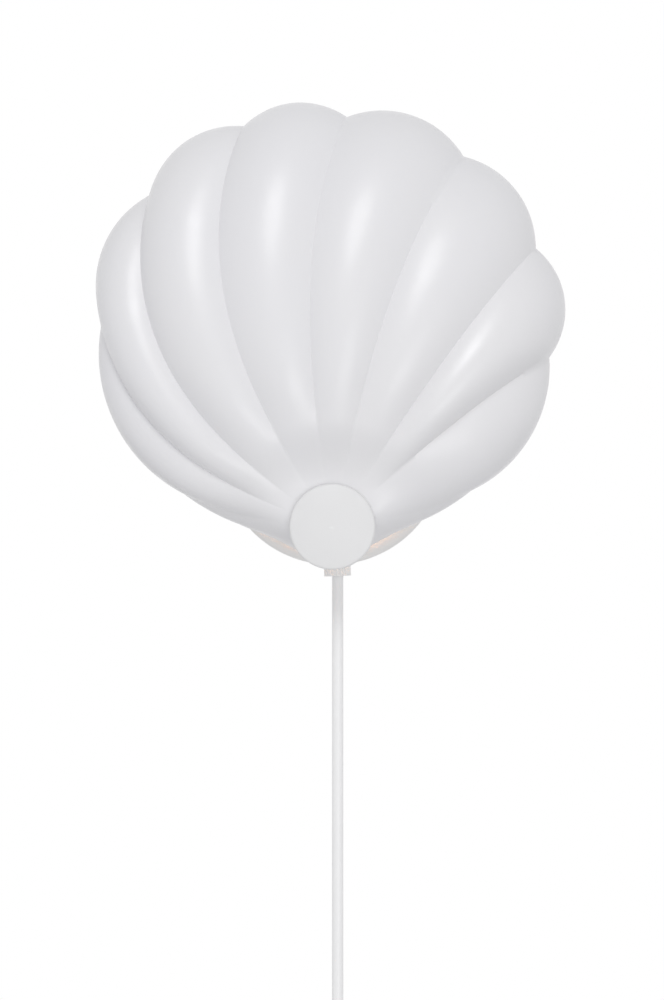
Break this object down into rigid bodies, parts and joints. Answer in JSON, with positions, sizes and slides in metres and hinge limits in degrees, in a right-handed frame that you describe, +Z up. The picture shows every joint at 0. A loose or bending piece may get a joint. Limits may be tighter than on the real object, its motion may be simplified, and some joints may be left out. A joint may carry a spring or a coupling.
{
  "type": "plug-in wall sconce",
  "caption": "Plug-in wall sconce: ribbed scallop-shell shade held by a round cap nut on a round wall base, with an upright bulb behind it and a round hanging cord.",
  "frame": {"origin": "middle of the wall bracket's slots, on the wall plane", "axes": "+Z up, +X to the viewer's right, +Y into the wall, so the lamp stands out along -Y"},
  "size_m": [0.2555, 0.0872, 0.7298],
  "materials": {
    "zinc_steel": "bright zinc",
    "white_metal": "satin powder coat",
    "screw_metal": "plated",
    "stud_metal": "turned",
    "seal_rubber": "clear grey",
    "shell_glaze": "smooth satin glaze",
    "insert_metal": "turned",
    "cap_white": "fine matt",
    "holder_plastic": "moulded",
    "core_ceramic": "dense moulded",
    "contact_metal": "plain",
    "bulb_metal": "bright",
    "bulb_black": "glass-like",
    "bulb_frost": "frosted",
    "light_post": "glowing",
    "terminal_plastic": "moulded",
    "clamp_metal": "plated",
    "wire_cover": "smooth",
    "grip_white": "satin",
    "cord_white": "smooth sheath",
    "switch_white": "smooth",
    "tie_white": "soft strap",
    "plug_white": "fine grain",
    "pin_metal": "nickel",
    "pin_sleeve": "smooth"
  },
  "bodies": {
    "lamp": {"wall_bracket": "zinc_steel", "stud_washer": "zinc_steel", "holder_nut": "zinc_steel", "holder_screw_nuts": "zinc_steel", "stud_nut": "zinc_steel", "base_cup": "white_metal", "holder_bracket": "white_metal", "spacer_sleeve": "white_metal", "base_screws": "screw_metal", "holder_screws": "screw_metal", "terminal_screw": "screw_metal", "switch_screws": "screw_metal", "stud": "stud_metal", "holder_nipple": "stud_metal", "shade_seal": "seal_rubber", "lampholder_body": "holder_plastic", "lampholder_core": "core_ceramic", "lampholder_sleeve": "contact_metal", "lampholder_contact": "contact_metal", "switch_contacts": "contact_metal", "terminal_block": "terminal_plastic", "terminal_clamps": "clamp_metal", "mains_wires": "wire_cover", "holder_wires": "wire_cover", "cord_grip_body": "grip_white", "cord_grip_ring": "grip_white", "cord_grip_locknut": "grip_white", "cord_in_grip": "cord_white", "cord_hanging": "cord_white", "cord_below_switch": "cord_white", "cord_coil": "cord_white", "cord_to_plug": "cord_white", "switch_base": "switch_white", "switch_cover": "switch_white", "coil_tie": "tie_white", "plug_body": "plug_white", "plug_pins": "pin_metal", "plug_pin_sleeves": "pin_sleeve"},
    "shade": {"shell_shade": "shell_glaze"},
    "cap_bush": {"cap_insert": "insert_metal"},
    "cap": {"cap_disc": "cap_white"},
    "bulb_cap": {"bulb_thread": "bulb_metal"},
    "bulb": {"bulb_glass": "bulb_frost", "bulb_insulator": "bulb_black", "bulb_tip": "bulb_metal", "bulb_light_post": "light_post"},
    "rocker": {"switch_rocker": "switch_white"}
  },
  "joints": [
    {"name": "shade_swivel", "type": "hinge", "parent": "lamp", "child": "shade", "pos_m": [0.00177, -0.045, -0.04046], "axis": [0, -1, 0], "range_deg": [-12, 12]},
    {"name": "cap_travel", "type": "slide", "parent": "lamp", "child": "cap_bush", "axis": [0, -1, 0], "range_m": [0, 0.007]},
    {"name": "cap_unscrew", "type": "hinge", "parent": "cap_bush", "child": "cap", "pos_m": [0.00177, -0.045, -0.04046], "axis": [0, -1, 0], "range_deg": [0, 2520]},
    {"name": "bulb_travel", "type": "slide", "parent": "lamp", "child": "bulb_cap", "axis": [0, 0, 1], "range_m": [0, 0.01411]},
    {"name": "bulb_unscrew", "type": "hinge", "parent": "bulb_cap", "child": "bulb", "pos_m": [0, -0.045, 0.06], "axis": [0, 0, 1], "range_deg": [0, 1800]},
    {"name": "rocker_press", "type": "hinge", "parent": "lamp", "child": "rocker", "pos_m": [0.00296, -0.0197, -0.34474], "axis": [1, 0, 0], "range_deg": [0, 12]}
  ],
  "couplings": [
    {"joint": "cap_travel", "follows": "cap_unscrew", "m_per_rad": 0.00015915},
    {"joint": "bulb_travel", "follows": "bulb_unscrew", "m_per_rad": 0.00044914}
  ]
}
